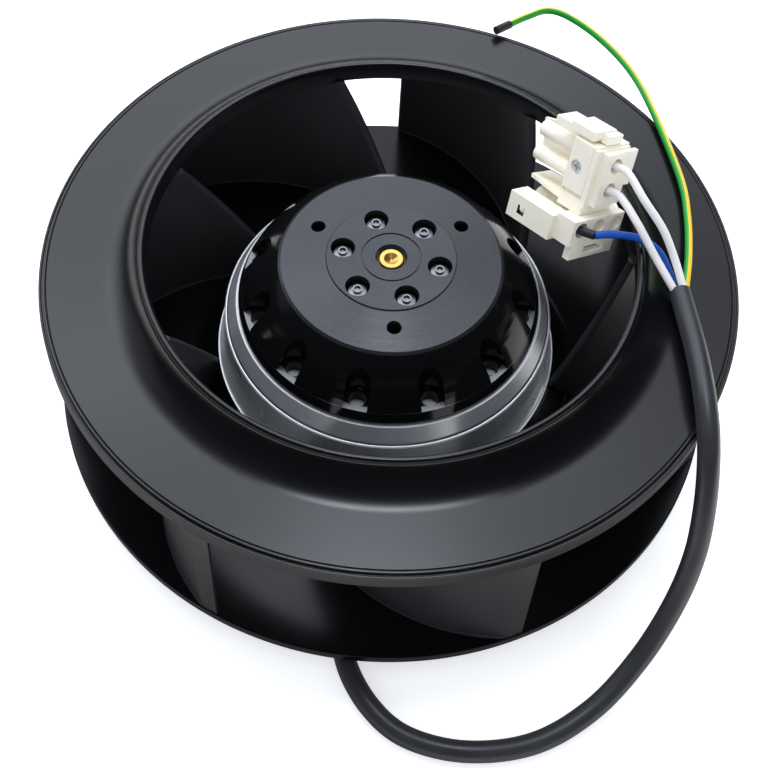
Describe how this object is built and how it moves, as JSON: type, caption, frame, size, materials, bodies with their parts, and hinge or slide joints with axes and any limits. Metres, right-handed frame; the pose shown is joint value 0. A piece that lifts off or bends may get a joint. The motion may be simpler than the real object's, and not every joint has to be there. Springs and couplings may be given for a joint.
{
  "type": "backward-curved plug fan",
  "caption": "Backward-curved plug fan: a black impeller with a bell-mouthed shroud turns on an external-rotor motor, with a supply cable and wire connectors.",
  "frame": {"origin": "centre of the mounting face, on the shaft's axis", "axes": "+Z along the shaft to the air inlet; +X to the right in the picture, where the cable lies; +Y away from the viewer"},
  "size_m": [0.225, 0.2625, 0.1113],
  "materials": {
    "black_plastic": "satin black moulding",
    "zinc_sheet": "bright zinc plate",
    "black_cast_metal": "glossy black coat",
    "core_steel": "satin grey",
    "dark_steel": "blackened",
    "brass": "turned",
    "bright_steel": "polished",
    "bearing_steel": "ground",
    "cage_plastic": "moulded",
    "cast_aluminium": "as cast",
    "insulator_plastic": "moulded",
    "winding_copper": "enamelled copper wire",
    "gland_rubber": "matt",
    "cable_jacket": "satin dark grey",
    "white_insulation": "smooth",
    "blue_insulation": "smooth",
    "black_sleeve": "matt",
    "earth_insulation": "yellow and green halves",
    "cream_plastic": "cream moulding"
  },
  "bodies": {
    "stator": {"stator_flange": "cast_aluminium", "preload_washer": "bright_steel", "dust_cap": "bright_steel", "stator_core": "core_steel", "upper_insulator": "insulator_plastic", "lower_insulator": "insulator_plastic", "windings": "winding_copper", "upper_bearing_outer": "bearing_steel", "lower_bearing_outer": "bearing_steel", "cable_gland": "gland_rubber", "supply_cable": "cable_jacket", "white_wire_1": "white_insulation", "white_wire_2": "white_insulation", "blue_wire": "blue_insulation", "blue_sleeve": "black_sleeve", "earth_wire": "earth_insulation", "earth_ferrule": "black_sleeve", "connector_upper": "cream_plastic", "connector_lower": "cream_plastic", "terminal_screw": "bright_steel", "terminal_blocks": "brass"},
    "impeller": {"inlet_shroud": "black_plastic", "back_plate": "black_plastic", "blade_1": "black_plastic", "blade_2": "black_plastic", "blade_3": "black_plastic", "blade_4": "black_plastic", "blade_5": "black_plastic", "blade_6": "black_plastic", "blade_7": "black_plastic", "hub_ring": "zinc_sheet", "rotor_cap": "black_cast_metal", "rotor_core": "core_steel", "shaft_hub": "bright_steel", "hub_rivets": "dark_steel", "shaft": "bright_steel", "shaft_plug": "brass", "retaining_ring": "dark_steel", "upper_bearing_inner": "bearing_steel", "lower_bearing_inner": "bearing_steel"},
    "upper_ball_train": {"upper_bearing_balls": "bearing_steel", "upper_bearing_cage": "cage_plastic"},
    "lower_ball_train": {"lower_bearing_balls": "bearing_steel", "lower_bearing_cage": "cage_plastic"}
  },
  "joints": [
    {"name": "rotor_spin", "type": "hinge", "parent": "stator", "child": "impeller", "pos_m": [0, 0, 0.035], "axis": [0, 0, 1], "continuous": true},
    {"name": "upper_balls_spin", "type": "hinge", "parent": "stator", "child": "upper_ball_train", "pos_m": [0, 0, 0.0535], "axis": [0, 0, 1], "continuous": true},
    {"name": "lower_balls_spin", "type": "hinge", "parent": "stator", "child": "lower_ball_train", "pos_m": [0, 0, 0.0175], "axis": [0, 0, 1], "continuous": true}
  ],
  "couplings": [
    {"joint": "upper_balls_spin", "follows": "rotor_spin", "ratio": 0.37},
    {"joint": "lower_balls_spin", "follows": "rotor_spin", "ratio": 0.37}
  ]
}
